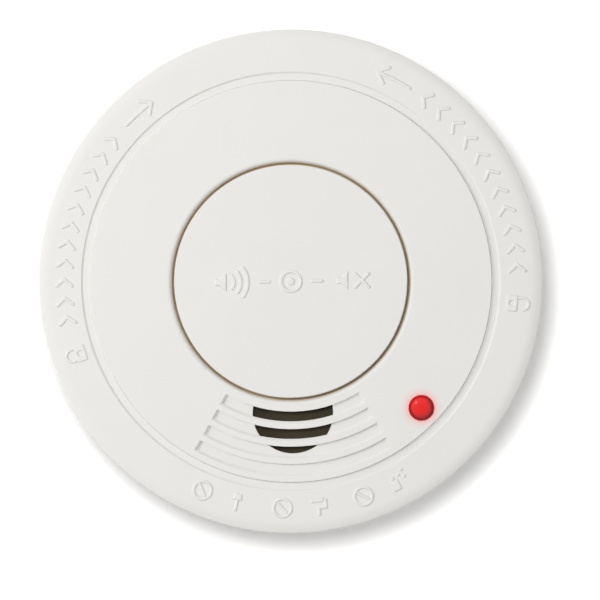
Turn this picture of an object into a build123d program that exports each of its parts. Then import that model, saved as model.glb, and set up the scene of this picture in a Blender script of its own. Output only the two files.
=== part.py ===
from build123d import *
import math
import os

# A round, battery powered smoke alarm on its twist-off ceiling bracket.
#
# Frame: millimetres, +Z out of the face into the room, z = 0 on the ceiling plane at the back of
# the bracket, and the Z axis through the middle of the test button. -Y is the side of the sounder
# grille, and the indicator lamp is 45 degrees round from it towards +X.

# ---- driving dimensions ---------------------------------------------------------------------
COVER_R = 51.0  # outside radius of the front cover
FACE_Z = 35.8  # flat face between the button and the ring groove
RING_Z = 35.55  # outer ring that carries the raised signs
PLATE = 2.0  # thickness of the cover's face
SIGN_R = 45.9  # middle of the band of raised signs
RELIEF = 0.22  # their height
RELIEF_DRAFT = 48.0  # the slope of their sides, degrees from upright
STROKE = 0.95  # width of a raised line at its foot
STROKE_THIN = 0.85  # and in the small signs

EDGE_SLOPE = 17.0  # the ring bends down by this before its outer corner
EDGE_START = 49.6  # radius where it does

BUTTON_R = 23.6
BUTTON_TOP = 36.0
FLANGE_R = 24.9  # the button's flange, which the cover holds down
FLANGE = (33.5, 34.55)
HOLE_R = 23.9  # hole in the cover that the button works in
COLLAR = (25.3, 26.1)  # inner and outer radius of the collar round the flange
COLLAR_Z = (32.6, 34.6)

GROOVE_IN = (40.63, 40.81)  # inner wall of the ring groove, top and bottom radius
GROOVE_OUT = (42.12, 42.47)  # outer wall of the ring groove, bottom and top radius
GROOVE_Z = 35.28

SLOT_COUNT = 4
SLOT_R = 26.35  # inner radius of the first grille slot
SLOT_WIDE = 2.0
SLOT_PITCH = 3.55
SLOT_SPAN = 60.2  # degrees
SLOT_FLOOR = 35.25
SLOT_LIP = (0.4, 0.26)  # how far its outer side and its ends slope away at the top: across, down
GRILLE_AT = -90.0  # direction of the grille, degrees from +X

HORN = (0.0, -26.7)  # axis of the sounder
DUCT_R = 8.15  # round sound duct behind the grille
HORN_R = 15.2
HORN_TOP = 32.3

LAMP_R = 2.5
LAMP_AT = (36.8, -45.0)  # polar place of the indicator lamp: radius, degrees
LAMP_TOP = 37.0

SKIRT_Z = 25.4  # lower edge of the cover's skirt
CAGE = (46.0, 47.4)  # inner and outer radius of the vent cage
CAGE_TOP = 33.6
CAGE_SLOTS = 60
CAGE_GAP = 2.6

BASE_R = 48.6
FLOOR = (6.2, 7.8)  # rear and front surface of the base's floor
BASE_LIP = 14.0
SCREW_R = 42.0
SCREW_AT = (90.0, 235.0, 305.0)

BRACKET_R = 45.7
BRACKET_PLATE = 2.0
BRACKET_RIM = 6.0
LOCKS_AT = (39.0, 159.0, 279.0)  # middle of each bayonet lock when the alarm is tightened
LUG_SPAN = 12.0  # degrees
TAB_SPAN = 15.0
SCREW_HOLE_X = 30.0  # ceiling screws, either side of the middle
SCREW_HOLE_R = 2.3

BOARD = (9.5, 11.1)  # rear and front surface of the circuit board
BOARD_R = 43.5
BOARD_EDGE_Y = 6.2  # the board stops short of the battery bay

CHAMBER = (-22.0, -12.0)  # axis of the smoke chamber
CHAMBER_R = 18.2
CHAMBER_TOP = 24.4

CHASSIS = (24.9, 26.2)  # plate that carries the sounder and guides the button's plunger

BATTERY_X = (-25.0, 21.0)
BATTERY_Y = (8.0, 34.5)
BATTERY_Z = (4.6, 22.1)
TERMINAL_GAP = 12.95  # between the two terminals

LEAD_PITCH = 2.54  # between the two leads of a lamp, emitter or receiver
LEAD_END = 8.7  # how far the parts' leads come through the back of the board

EPS = 0.01


# ---- small helpers --------------------------------------------------------------------------
def polar(radius, degrees):
    a = math.radians(degrees)
    return radius * math.cos(a), radius * math.sin(a)


def cyl(r, z0, z1, at=(0, 0)):
    return Pos(at[0], at[1], z0) * Cylinder(r, z1 - z0, align=(Align.CENTER, Align.CENTER, Align.MIN))


def along_x(r, x0, x1, y=0, z=0):
    """A cylinder that lies along the X axis."""
    return Pos(x0, y, z) * (Rot(0, 90, 0) * cyl(r, 0, x1 - x0))


def tube(r_out, r_in, z0, z1, at=(0, 0)):
    return cyl(r_out, z0, z1, at) - cyl(r_in, z0 - 1, z1 + 1, at)


def block(x, y, z):
    """A box from three (low, high) pairs."""
    return Pos(x[0], y[0], z[0]) * Box(x[1] - x[0], y[1] - y[0], z[1] - z[0], align=(Align.MIN,) * 3)


def lathe(points, rounds=(), at=(0, 0)):
    """Turns a closed outline of (radius, z) points about a vertical axis; rounds is ((r, z), radius)."""
    outline = make_face(Polyline(*points, close=True))
    for corner, radius in rounds:
        outline = fillet(outline.vertices().sort_by_distance((*corner, 0))[0], radius)
    return Pos(at[0], at[1], 0) * revolve(Plane.XZ * outline, Axis.Z)


def wedge(r_in, r_out, middle, span):
    """A flat ring sector, straight at its ends."""
    a, b = middle - span / 2, middle + span / 2
    return make_face(
        [
            CenterArc((0, 0), r_out, a, span),
            Line(polar(r_out, b), polar(r_in, b)),
            CenterArc((0, 0), r_in, a, span),
            Line(polar(r_in, a), polar(r_out, a)),
        ]
    )


def sector(r_in, r_out, z0, z1, middle, span):
    return extrude(Pos(0, 0, z0) * wedge(r_in, r_out, middle, span), z1 - z0)


def slot_arc(radius, width, middle, span):
    """A flat curved slot with round ends."""
    band = wedge(radius - width / 2, radius + width / 2, middle, span)
    for end in (middle - span / 2, middle + span / 2):
        band += Pos(*polar(radius, end)) * Circle(width / 2)
    return band


def stroke(a, b, width=STROKE):
    """A straight raised line with round ends."""
    dx, dy = b[0] - a[0], b[1] - a[1]
    length = math.hypot(dx, dy)
    turn = math.degrees(math.atan2(dy, dx))
    return Pos((a[0] + b[0]) / 2, (a[1] + b[1]) / 2) * (Rot(0, 0, turn) * SlotCenterToCenter(length, width))


def raised(shapes, z):
    """Flat shapes made to stand up from the surface at z, with sloping sides."""
    foot = Pos(0, 0, z - 0.05)
    return [extrude(foot * shape, RELIEF + 0.05, taper=RELIEF_DRAFT) for shape in shapes]


def placed(shapes, place):
    return [place * shape for shape in shapes]


def on_ring(shapes, degrees, outward=True):
    """Puts a sign drawn about the origin on the ring, its top away from the middle, or towards it."""
    turn = Rot(0, 0, degrees - 90 if outward else degrees + 90)
    return placed(shapes, Pos(*polar(SIGN_R, degrees)) * turn)


def wire(points, radii, diameter):
    """A round wire along straight runs joined by arcs."""
    path = FilletPolyline(*points, radius=radii)
    return sweep(Plane(path @ 0, z_dir=path % 0) * Circle(diameter / 2), path=path)


def save(name, *solids):
    export_step(solids[0] if len(solids) == 1 else Compound(children=list(solids)), f"parts/{name}.step")


# ---- raised signs: lists of flat shapes, drawn about the origin with the top at +Y -----------------
def ring_line(radius, width=STROKE):
    return Circle(radius + width / 2) - Circle(radius - width / 2)


def chevron(depth, height):
    """Two strokes that point along +X."""
    tip = (depth / 2, 0)
    return [stroke((-depth / 2, height / 2), tip) + stroke((-depth / 2, -height / 2), tip)]


def push_button():
    """A round button seen from above, with its middle raised."""
    return [ring_line(2.0), Circle(0.9)]


def padlock(is_open):
    body = Pos(0, -0.9) * RectangleRounded(3.6, 2.5, 0.5) - Pos(0, -0.9) * Circle(0.4)
    leg = Pos(-1.2, -0.4) * Rectangle(STROKE_THIN, 0.8)
    bow = ring_line(1.2, STROKE_THIN) - Pos(0, -2) * Rectangle(4, 4) + leg
    if is_open:
        return [body, Pos(0, 1.3) * (bow + Pos(0, -0.4) * leg)]
    return [body, Pos(0, 0.85) * (bow + Pos(2.4, 0) * leg)]


def forbidden():
    """A ring with a bar across it."""
    return [ring_line(1.8, STROKE_THIN), Rot(0, 0, -45) * Rectangle(3.4, 0.8)]


def brush():
    tip = make_face(Polyline((-1.0, 0.2), (1.0, 0.2), (0.8, 1.8), (-0.8, 1.8), close=True))
    return [tip, stroke((0, 0.2), (0, -1.7), STROKE_THIN)]


def roller():
    drum = Pos(-0.2, 1.3) * Rectangle(2.9, 1.2)
    side = Pos(1.5, 0.5) * Rectangle(STROKE_THIN, 2.0)
    arm = Pos(0.75, -0.3) * Rectangle(2.35, STROKE_THIN)
    return [drum, side, arm, Pos(0, -1.15) * Rectangle(STROKE_THIN, 1.7)]


def spray_can():
    body = Pos(-0.5, -0.6) * Rectangle(2.0, 2.4)
    drops = [Pos(x, y) * Circle(0.45) for x, y in ((0.9, 1.1), (1.9, 1.8), (1.9, 0.4))]
    return [body, Pos(-0.5, 0.95) * Rectangle(0.9, 1.0)] + drops


def speaker():
    return make_face(
        Polyline((-2.1, -0.8), (-1.0, -0.8), (0.5, -2.1), (0.5, 2.1), (-1.0, 0.8), (-2.1, 0.8), close=True)
    )


def sounding():
    return [speaker()] + [Pos(-0.2, 0) * slot_arc(radius, STROKE, 0, 72) for radius in (2.1, 3.5, 4.9)]


def silenced():
    return [speaker(), stroke((1.8, -1.35), (4.5, 1.35)), stroke((1.8, 1.35), (4.5, -1.35))]


# ---- bracket --------------------------------------------------------------------------------
def mounting_bracket():
    """A plate with a rim. Three tabs on the rim hold the alarm's lugs down, with a stop behind each."""
    body = lathe(
        [
            (0, 0),
            (BRACKET_R, 0),
            (BRACKET_R, BRACKET_RIM),
            (BRACKET_R - 2.5, BRACKET_RIM),
            (BRACKET_R - 2.5, BRACKET_PLATE),
            (0, BRACKET_PLATE),
        ],
        rounds=[((BRACKET_R, 0), 0.8), ((BRACKET_R, BRACKET_RIM), 0.8)],
    )
    for i in range(8):
        spoke = block((9, 38), (-0.6, 0.6), (BRACKET_PLATE - 0.1, 3.2))
        body += Rot(0, 0, 22.5 + 45 * i) * spoke
    body += tube(9.6, 8.4, BRACKET_PLATE - 0.1, 3.2)
    body += tube(38.6, 37.4, BRACKET_PLATE - 0.1, 3.2)
    for x in (-SCREW_HOLE_X, SCREW_HOLE_X):
        body += cyl(5.0, BRACKET_PLATE - 0.1, 3.0, (x, 0))
        body -= cyl(SCREW_HOLE_R, -1, 4, (x, 0))
    for middle in (90, 270):
        body -= extrude(Pos(0, 0, -1) * slot_arc(31.0, 4.0, middle, 34), 5)
        body -= extrude(Pos(0, 0, -1) * slot_arc(18.0, 4.0, middle, 50), 5)
    stop_span = 1.4
    for middle in LOCKS_AT:
        body += sector(41.9, 43.4, 4.3, BRACKET_RIM, middle, TAB_SPAN)
        body += sector(41.9, 43.4, BRACKET_PLATE - 0.1, 4.4, middle - (TAB_SPAN - stop_span) / 2, stop_span)
    return body


# ---- base -----------------------------------------------------------------------------------
BAY_X = (-25.3, 27.6)
BAY_Y = (7.7, 34.8)
BAY_ROOF = (22.4, 23.6)
BAY_WALL = 1.1
LEGS_AT = ((-9.0, -40.5), (9.0, -40.5), (9.0, 3.2))
BOARD_SCREWS_AT = ((38.5, -8.0), (-38.5, 3.4))


def bay_outline(grow):
    """The battery bay's plan, with one corner cut off where the cage is close."""
    x0, x1 = BAY_X[0] - grow, BAY_X[1] + grow
    y0, y1 = BAY_Y[0] - grow, BAY_Y[1] + grow
    cut = 3.2
    return make_face(Polyline((x0, y0), (x1, y0), (x1, y1 - cut), (x1 - cut, y1), (x0, y1), close=True))


def base_housing():
    """The rear shell: floor, wall, vent cage, battery bay, bayonet collar, and posts for the rest."""
    shell = lathe(
        [
            (0, FLOOR[0]),
            (40.0, FLOOR[0]),
            (40.0, 2.6),
            (41.5, 2.6),
            (41.5, FLOOR[0]),
            (BASE_R, FLOOR[0]),
            (BASE_R, BASE_LIP),
            (CAGE[1], BASE_LIP),
            (CAGE[1], CAGE_TOP),
            (CAGE[0], CAGE_TOP),
            (CAGE[0], 12.0),
            (46.7, 11.0),
            (46.7, FLOOR[1]),
            (0, FLOOR[1]),
        ],
        rounds=[((BASE_R, FLOOR[0]), 1.6), ((BASE_R, BASE_LIP), 0.6)],
    )
    gap_cutter = block((CAGE[0] - 1, CAGE[1] + 0.5), (-CAGE_GAP / 2, CAGE_GAP / 2), (15.2, CAGE_TOP + 1))
    for i in range(CAGE_SLOTS):
        shell -= Rot(0, 0, 360 * (i + 0.5) / CAGE_SLOTS) * gap_cutter
    for middle in LOCKS_AT:
        shell += sector(41.3, 42.9, 2.6, 4.1, middle, LUG_SPAN)

    shell += extrude(Pos(0, 0, FLOOR[0]) * bay_outline(BAY_WALL), BAY_ROOF[1] - FLOOR[0])
    shell -= extrude(Pos(0, 0, 0) * bay_outline(0), BAY_ROOF[0])
    shell -= block((23.6, 28.8), (6.0, 7.8), (0, 17.4))  # way out for the battery leads
    for y, inward in ((BAY_Y[0], 1), (BAY_Y[1], -1)):
        clip = sorted((y - inward * BAY_WALL, y))
        hook = sorted((y - inward * BAY_WALL, y + inward * 1.2))
        shell += block((-6, 0), clip, (3.6, FLOOR[0] + 0.1))
        shell += block((-6, 0), hook, (3.6, 4.4))

    for degrees in SCREW_AT:
        at = polar(SCREW_R, degrees)
        shell += cyl(3.8, FLOOR[0], 10.0, at) + cyl(3.0, 9.9, 24.0, at)
        shell -= cyl(2.8, 0, 8.8, at)
        shell -= cyl(1.5, 8.0, 25.0, at)
    for at in BOARD_SCREWS_AT:
        shell += cyl(2.6, FLOOR[1] - 0.1, BOARD[0], at)
        shell -= cyl(1.05, FLOOR[1], BOARD[0] + 1, at)
    for at in LEGS_AT:
        shell += tube(2.6, 1.85, FLOOR[1] - 0.1, 9.2, at)
    return shell


def cover_screws():
    """Three self-tapping screws, driven from the back through the base into the cover's bosses."""
    outline = [(0, 7.0), (2.6, 7.0), (2.6, 8.0), (2.2, 8.8), (1.2, 8.8)]
    for turn in range(9):
        z = 21.0 + turn
        outline += [(0.95, z), (1.2, z + 0.3), (1.2, z + 0.45)]
    outline += [(0.95, 30.2), (0, 31.2)]
    screws = []
    for degrees in SCREW_AT:
        at = polar(SCREW_R, degrees)
        screw = lathe(outline, at=at)
        for turn in (0, 90):
            screw -= Pos(*at, 0) * (Rot(0, 0, turn) * block((-1.5, 1.5), (-0.3, 0.3), (6, 7.9)))
        screws.append(screw)
    return screws


def rating_label():
    """A plain sticker on the back of the base."""
    label = RectangleRounded(44, 20, 2)
    return extrude(Pos(0, -14, FLOOR[0] - 0.15) * label, 0.15)


# ---- cover ----------------------------------------------------------------------------------
def slot_mouth(inner, outer):
    """The mouth of a slot whose middle is on the X axis: its outer side and both ends slope away."""
    across, down = SLOT_LIP
    low = FACE_Z - down
    corners = [(inner, low), (outer, low), (outer + across, FACE_Z), (inner, FACE_Z)]
    mouth = revolve(Plane.XZ * make_face(Polyline(*corners, close=True)), Axis.Z, SLOT_SPAN + 2)
    mouth = Rot(0, 0, -SLOT_SPAN / 2 - 1) * mouth
    slope = math.degrees(math.atan2(down, across))
    for side in (-1, 1):
        beyond = (0, 3) if side > 0 else (-3, 0)
        ramp = Rot(side * slope, 0, 0) * block((inner - 1, outer + 2), beyond, (-3, 0))
        mouth -= Rot(0, 0, side * SLOT_SPAN / 2) * Pos(0, 0, low) * ramp
    return mouth


def grille():
    """The solids to take away from the cover's face: shallow curved slots, open over the round duct."""
    cuts = []
    for i in range(SLOT_COUNT):
        inner = SLOT_R + i * SLOT_PITCH
        outer = inner + SLOT_WIDE
        cuts.append(sector(inner, outer, SLOT_FLOOR, FACE_Z, GRILLE_AT, SLOT_SPAN))
        cuts.append(Rot(0, 0, GRILLE_AT) * slot_mouth(inner, outer))
    duct = cyl(DUCT_R, 30, SLOT_FLOOR + EPS, HORN) - cyl(COLLAR[0] + 0.5, 29, 36)
    return cuts, duct


TURN_SIGNS = (
    # way to turn, padlock, first and last chevron, arrow's tail and head, all in degrees
    {"way": -1, "lock": 198.0, "chevrons": (189.0, 141.0), "arrow": (135.5, 127.0)},
    {"way": 1, "lock": -6.5, "chevrons": (2.5, 52.5), "arrow": (57.5, 66.5)},
)
CHEVRONS = 11
WARNINGS_AT = (250.8, 271.6, 292.4)
WARNING_SPREAD = 4.6  # degrees from the middle of a warning to its ring and to its picture


def ring_signs():
    """Signs for locking and unlocking on the outer ring, and three against painting."""
    signs = []
    for turn in TURN_SIGNS:
        way = turn["way"]
        facing = Rot(0, 0, 180 if way > 0 else 0)
        signs += on_ring(padlock(way > 0), turn["lock"])
        first, last = turn["chevrons"]
        for i in range(CHEVRONS):
            degrees = first + (last - first) * i / (CHEVRONS - 1)
            signs += on_ring(placed(chevron(1.3, 3.1), facing), degrees)
        tail, head = turn["arrow"]
        signs.append(slot_arc(SIGN_R, STROKE, (tail + head) / 2, abs(tail - head)))
        signs += on_ring(placed(chevron(1.8, 3.4), facing * Pos(-0.9, 0)), head)
    for picture, degrees in zip((brush(), roller(), spray_can()), WARNINGS_AT):
        signs += on_ring(forbidden(), degrees - WARNING_SPREAD, outward=False)
        signs += on_ring(picture, degrees + WARNING_SPREAD, outward=False)
    return signs


def button_signs():
    """Sounding, press, and silenced, in a row with a dash between each two."""
    signs = placed(sounding(), Pos(-13.4, 0)) + push_button() + placed(silenced(), Pos(11.2, 0))
    for x in (-5.3, 5.3):
        signs.append(stroke((x - 0.9, 0), (x + 0.9, 0)))
    return signs


def front_cover():
    """The face, ring groove, rounded rim and skirt, with the collar, bosses and ribs behind the face."""
    under = FACE_Z - PLATE
    corner_z = RING_Z - (COVER_R - EDGE_START) * math.tan(math.radians(EDGE_SLOPE))
    cover = lathe(
        [
            (HOLE_R, COLLAR_Z[1]),
            (HOLE_R, FACE_Z),
            (GROOVE_IN[0], FACE_Z),
            (GROOVE_IN[1], GROOVE_Z),
            (GROOVE_OUT[0], GROOVE_Z),
            (GROOVE_OUT[1], RING_Z),
            (EDGE_START, RING_Z),
            (COVER_R, corner_z),
            (COVER_R, 31.0),
            (COVER_R - 0.35, SKIRT_Z),
            (49.0, SKIRT_Z),
            (49.2, 33.75),
            (43.2, 33.75),
            (42.4, 33.4),
            (40.6, 33.4),
            (40.0, under),
            (COLLAR[1], under),
            (COLLAR[1], COLLAR_Z[0]),
            (COLLAR[0], COLLAR_Z[0]),
            (COLLAR[0], COLLAR_Z[1]),
        ],
        rounds=[
            ((HOLE_R, FACE_Z), 1.1),
            ((EDGE_START, RING_Z), 5.0),
            ((COVER_R, corner_z), 0.35),
            ((COVER_R - 0.35, SKIRT_Z), 0.5),
            ((49.2, 33.75), 1.0),
            ((GROOVE_IN[0], FACE_Z), 0.15),
            ((GROOVE_OUT[1], RING_Z), 0.15),
        ],
    )
    for degrees in (18, 62, 118, 162, 198):
        cover += Rot(0, 0, degrees) * block((COLLAR[1] - 0.1, 45.0), (-0.5, 0.5), (31.8, under))
    cover += tube(DUCT_R + 1.2, DUCT_R, 32.5, under + 0.1, HORN) - cyl(COLLAR[1] - 0.1, 29, 36)
    cuts, duct = grille()
    cover -= duct
    for cut in cuts:
        cover -= cut
    lamp = polar(*LAMP_AT)
    cover += cyl(3.9, 30.6, under + 0.1, lamp)
    cover -= cyl(LAMP_R + 0.15, 30, 37, lamp)
    for degrees in SCREW_AT:
        at = polar(SCREW_R, degrees)
        cover += cyl(2.8, 24.2, 33.6, at)
        cover -= cyl(1.25, 24, 31.6, at)
    cover += raised(ring_signs(), RING_Z)
    return cover


# ---- button and test switch -----------------------------------------------------------------
PLUNGER_R = 2.4
PLUNGER_END = 17.1


def test_button():
    """The round push plate with its flange, stiffening ribs, spring cup and plunger."""
    under = BUTTON_TOP - PLATE
    button = lathe(
        [
            (0, under),
            (FLANGE_R - 1.8, under),
            (FLANGE_R - 1.8, FLANGE[0]),
            (FLANGE_R, FLANGE[0]),
            (FLANGE_R, FLANGE[1]),
            (BUTTON_R, FLANGE[1]),
            (BUTTON_R, BUTTON_TOP),
            (0, BUTTON_TOP),
        ],
        rounds=[((BUTTON_R, BUTTON_TOP), 0.2)],
    )
    inside = under + 0.1
    button += cyl(PLUNGER_R, PLUNGER_END + 1.2, inside)
    taper_top = PLUNGER_END + 1.3
    button += lathe([(0, PLUNGER_END), (1.6, PLUNGER_END), (PLUNGER_R, taper_top), (0, taper_top)])
    button += tube(7.0, 6.0, 32.4, inside)
    for degrees in range(30, 390, 60):
        button += Rot(0, 0, degrees) * block((6.5, FLANGE_R - 1.0), (-0.5, 0.5), (FLANGE[0], inside))
    button += raised(button_signs(), BUTTON_TOP)
    return button


def button_spring():
    """Return spring between the chassis and the button, round the plunger."""
    wire_r, coil_r = 0.25, 4.4
    low, high = CHASSIS[1] + wire_r + 0.02, BUTTON_TOP - PLATE - wire_r - 0.02
    path = Helix(pitch=(high - low) / 5.5, height=high - low, radius=coil_r)
    coil = sweep(Plane(path @ 0, z_dir=path % 0) * Circle(wire_r), path=path, is_frenet=True)
    return Pos(0, 0, low) * coil


SWITCH = 3.0  # half the width of the test switch
SWITCH_TOP = 14.5
SWITCH_WELL_R = 2.4
SWITCH_PINS_AT = ((-2.2, -3.15), (-2.2, 3.15), (2.2, -3.15), (2.2, 3.15))


def switch_body():
    body = block((-SWITCH, SWITCH), (-SWITCH, SWITCH), (BOARD[1], SWITCH_TOP))
    return body - cyl(SWITCH_WELL_R, 12.3, SWITCH_TOP + 1)


def switch_frame():
    """The metal cover of the test switch, with four folded tabs."""
    plate = block((-SWITCH, SWITCH), (-SWITCH, SWITCH), (SWITCH_TOP, SWITCH_TOP + 0.3)) - cyl(1.75, 14, 16)
    for x in (-SWITCH - 0.25, SWITCH):
        plate += block((x, x + 0.25), (-1.2, 1.2), (12.6, SWITCH_TOP + 0.3))
    return plate


def switch_pins():
    return [block((x - 0.35, x + 0.35), (y - 0.15, y + 0.15), (8.6, 12.4)) for x, y in SWITCH_PINS_AT]


def switch_actuator():
    return lathe([(0, 13.5), (2.0, 13.5), (2.0, 14.2), (1.4, 14.2), (1.4, 17.0), (0, 17.0)])


# ---- chassis and sounder ----------------------------------------------------------------------
def chassis():
    """The inner plate under the sounder, on three legs, with the plunger's guide at its end."""
    plate = cyl(HORN_R + 1.2, *CHASSIS, HORN) + cyl(7.4, *CHASSIS)
    plate += block((-7.4, 7.4), (HORN[1] + 8, 0), CHASSIS)
    plate += block((0, 9.0), (0.8, 5.6), CHASSIS)
    plate += tube(HORN_R + 1.2, HORN_R + 0.2, CHASSIS[1] - 0.1, 28.6, HORN)
    for at in LEGS_AT:
        plate += cyl(2.4, *CHASSIS, at) + cyl(1.6, FLOOR[1], CHASSIS[0] + 0.1, at)
    plate -= block((-6, 6), (-14, -8), (CHASSIS[1], 30))
    plate -= cyl(PLUNGER_R + 0.35, 24, 27)
    for at, _ in CONTACTS:
        plate -= cyl(0.9, 24, 27, at)
    return plate


PIEZO_Z = (28.1, 28.35)  # the brass disc
CERAMIC_Z = 27.9  # rear face of the ceramic on it
CONTACTS = (((10.3, -26.7), PIEZO_Z[0]), ((3.0, -23.0), CERAMIC_Z), ((-4.0, -30.0), CERAMIC_Z))


def horn_ring():
    """The ring that the piezo disc lies on."""
    base, seat, rim = CHASSIS[1], PIEZO_Z[0], 28.9
    return lathe([(11.2, base), (15.0, base), (15.0, rim), (13.7, rim), (13.7, seat), (11.2, seat)], at=HORN)


def horn_cap():
    """The resonator cap over the disc, with its sound slit under the grille's first bar."""
    top, under, foot = HORN_TOP, HORN_TOP - 1.1, 28.95
    cap = lathe(
        [(0, under), (14.0, under), (14.0, foot), (HORN_R, foot), (HORN_R, top), (0, top)],
        rounds=[((HORN_R, top), 0.6)],
        at=HORN,
    )
    slit = slot_arc(SLOT_R + (SLOT_WIDE + SLOT_PITCH) / 2, 1.4, GRILLE_AT, 10)
    return cap - extrude(Pos(0, 0, under - 1) * slit, 3)


def horn_contacts():
    """Three sprung pins from the board to the disc and its ceramic."""
    pins = []
    for (x, y), top in CONTACTS:
        pin = cyl(0.3, LEAD_END, 22.0, (x, y)) + cyl(0.55, 15.0, 26.9, (x, y)) + cyl(0.3, 26.0, top, (x, y))
        pins.append(pin)
    return pins


# ---- indicator lamp -----------------------------------------------------------------------------
LAMP_SEAT = LAMP_TOP - 8.6
LAMP_LEADS_AT = [(polar(*LAMP_AT)[0] + dx, polar(*LAMP_AT)[1]) for dx in (-LEAD_PITCH / 2, LEAD_PITCH / 2)]


def lamp_lens():
    dome = LAMP_TOP - LAMP_R
    flange_r = 2.9
    body = cyl(LAMP_R, LAMP_SEAT, dome) + Pos(0, 0, dome) * Sphere(LAMP_R)
    body += cyl(flange_r, LAMP_SEAT, LAMP_SEAT + 1.0)
    return Pos(*polar(*LAMP_AT), 0) * body


def lamp_leads():
    return [cyl(0.25, LEAD_END, LAMP_SEAT, at) for at in LAMP_LEADS_AT]


def lamp_spacer():
    body = cyl(2.8, BOARD[1], LAMP_SEAT, polar(*LAMP_AT))
    for at in LAMP_LEADS_AT:
        body -= cyl(0.35, 8, 30, at)
    return body


# ---- smoke chamber --------------------------------------------------------------------------------
CHAMBER_FLOOR = 12.8
OPTICS_Z = 17.0  # height of the light beam
EMITTER_AT = 200.0  # directions of the emitter and the receiver about the chamber's axis
RECEIVER_AT = 60.0
OPTIC_LEAD_X = 12.0  # how far out their leads turn down
OPTIC_LEADS_AT = [
    (
        CHAMBER[0] + polar(OPTIC_LEAD_X, degrees)[0] + polar(y, degrees + 90)[0],
        CHAMBER[1] + polar(OPTIC_LEAD_X, degrees)[1] + polar(y, degrees + 90)[1],
    )
    for degrees in (EMITTER_AT, RECEIVER_AT)
    for y in (-LEAD_PITCH / 2, LEAD_PITCH / 2)
]


def across_chamber(shape, degrees):
    """Moves something drawn along +X at the beam's height to its place in the chamber."""
    return Pos(*CHAMBER, OPTICS_Z) * (Rot(0, 0, degrees) * shape)


def chamber_base():
    """The optical base: a round floor with a tunnel for the emitter and one for the receiver."""
    floor = cyl(CHAMBER_R, BOARD[1], CHAMBER_FLOOR, CHAMBER)
    for degrees in (EMITTER_AT, RECEIVER_AT):
        holder = block((4.5, 10.4), (-3.6, 3.6), (CHAMBER_FLOOR - OPTICS_Z - 0.1, 3.6))
        holder -= along_x(2.6, 5.6, 13)
        holder -= along_x(1.4, 4, 6)
        floor += across_chamber(holder, degrees)
    for at in OPTIC_LEADS_AT:
        floor -= cyl(0.6, 8, CHAMBER_FLOOR + 1, at)
    return floor


def chamber_cap():
    """The light-tight lid, with a ring of bent vanes that smoke can pass and light can't."""
    lid = cyl(CHAMBER_R, 22.8, CHAMBER_TOP) + tube(15.5, 14.5, CHAMBER_TOP - 0.1, CHAMBER_TOP + 0.2)
    vane = make_face(
        Polyline((13.2, -1.0), (15.2, 0.9), (17.2, -0.6), (17.2, 0.2), (15.2, 1.7), (13.2, -0.2), close=True)
    )
    vane = extrude(Pos(0, 0, CHAMBER_FLOOR) * vane, 10.1)
    count = 24
    for i in range(count):
        lid += Rot(0, 0, 360 * i / count) * vane
    return Pos(*CHAMBER, 0) * lid


def insect_screen():
    return tube(17.9, 17.6, CHAMBER_FLOOR, 22.8, CHAMBER)


def ir_emitter():
    lens = along_x(1.5, 6.2, 9.5) + Pos(6.2, 0, 0) * Sphere(1.35) + along_x(2.5, 9.4, 10.6)
    return across_chamber(lens, EMITTER_AT)


def photodiode():
    lens = along_x(2.4, 7.6, 10.6) + Pos(7.6, 0, 0) * Sphere(1.9)
    return across_chamber(lens, RECEIVER_AT)


def optic_leads():
    """Two leads from the back of the emitter and two from the receiver, bent down into the board."""
    leads = []
    for degrees in (EMITTER_AT, RECEIVER_AT):
        for y in (-LEAD_PITCH / 2, LEAD_PITCH / 2):
            run = [(10.6, y, 0), (OPTIC_LEAD_X, y, 0), (OPTIC_LEAD_X, y, LEAD_END - OPTICS_Z)]
            leads.append(across_chamber(wire(run, 0.6, 0.5), degrees))
    return leads


# ---- circuit board ----------------------------------------------------------------------------------
def circuit_board():
    outline = Circle(BOARD_R) - Pos(0, BOARD_EDGE_Y + 50) * Rectangle(120, 100)
    board = extrude(Pos(0, 0, BOARD[0]) * outline, BOARD[1] - BOARD[0])
    low, high = BOARD[0] - 1, BOARD[1] + 1
    for degrees in SCREW_AT[1:]:
        board -= cyl(4.2, low, high, polar(SCREW_R, degrees))
    for at in LEGS_AT:
        board -= cyl(2.0, low, high, at)
    for at in BOARD_SCREWS_AT:
        board -= cyl(1.3, low, high, at)
    for at in [at for at, _ in CONTACTS] + [LEAD_RED[-1][:2], LEAD_BLACK[-1][:2]]:
        board -= cyl(0.8, low, high, at)
    for at in LAMP_LEADS_AT + OPTIC_LEADS_AT + TRANSISTOR_LEGS_AT + DIODE_LEADS_AT:
        board -= cyl(0.45, low, high, at)
    for at in SWITCH_PINS_AT:
        board -= cyl(0.6, low, high, at)
    return board


def board_screws():
    screws = []
    for at in BOARD_SCREWS_AT:
        head = BOARD[1]
        shank = [(0, 7.9), (1.0, 7.9), (1.0, head)]
        top = [(2.1, head), (2.1, head + 1.1), (1.5, head + 1.6), (0, head + 1.6)]
        screw = lathe([*shank, *top], at=at)
        for turn in (0, 90):
            screw -= Pos(*at, 0) * (Rot(0, 0, turn) * block((-1.2, 1.2), (-0.25, 0.25), (12.0, 13)))
        screws.append(screw)
    return screws


IC_AT = (26.0, -10.5)
IC_SIZE = (9.9, 3.9)


def detector_ic():
    """The detector's integrated circuit, with the dimple that marks its first pin."""
    x, y = IC_AT
    w, d = IC_SIZE
    body = block((x - w / 2, x + w / 2), (y - d / 2, y + d / 2), (BOARD[1] + 0.2, BOARD[1] + 1.7))
    return body - cyl(0.4, BOARD[1] + 1.5, BOARD[1] + 3, (x - 4.0, y - 1.1))


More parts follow.
